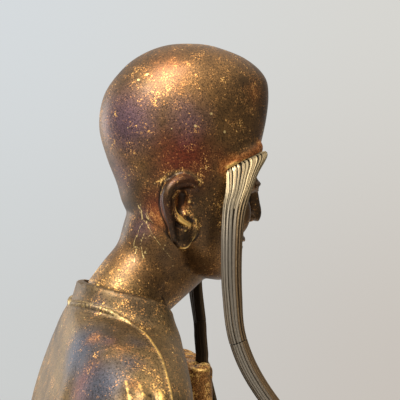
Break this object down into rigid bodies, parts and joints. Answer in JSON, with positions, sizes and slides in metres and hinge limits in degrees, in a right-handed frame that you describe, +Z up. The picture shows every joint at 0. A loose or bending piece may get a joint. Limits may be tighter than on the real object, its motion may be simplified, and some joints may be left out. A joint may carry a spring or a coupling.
{
  "type": "arhat statue",
  "caption": "Seated bald arhat in patinated brass with long fluted eyebrows held out by both hands, a hollow draped robe and a closing plate underneath.",
  "frame": {"origin": "on the ground, at the middle of the statue's footprint", "axes": "+Z up, the figure faces -Y, +X towards its left-hand side"},
  "size_m": [0.204, 0.1634, 0.2797],
  "materials": {
    "robe_patina": "dark brown patina with gold speckles and gilt raised edges",
    "skin_patina": "brown and violet patina, gold where it is rubbed",
    "eyebrow_patina": "grey-brown patina with bright ridges",
    "plain_brass": "unpatinated, dull"
  },
  "bodies": {
    "root": {"robe": "robe_patina", "base_plate": "plain_brass", "base_screw_front_left": "plain_brass", "base_screw_back_left": "plain_brass", "base_screw_back_right": "plain_brass", "base_screw_front_right": "plain_brass", "head": "skin_patina", "neck_pin": "plain_brass", "right_eyebrow_root": "eyebrow_patina", "right_eyebrow_tail": "eyebrow_patina", "right_eyebrow_dowel": "plain_brass", "right_hand": "skin_patina", "right_wrist_peg": "plain_brass", "left_eyebrow_root": "eyebrow_patina", "left_eyebrow_tail": "eyebrow_patina", "left_eyebrow_dowel": "plain_brass", "left_hand": "skin_patina", "left_wrist_peg": "plain_brass"}
  },
  "joints": []
}
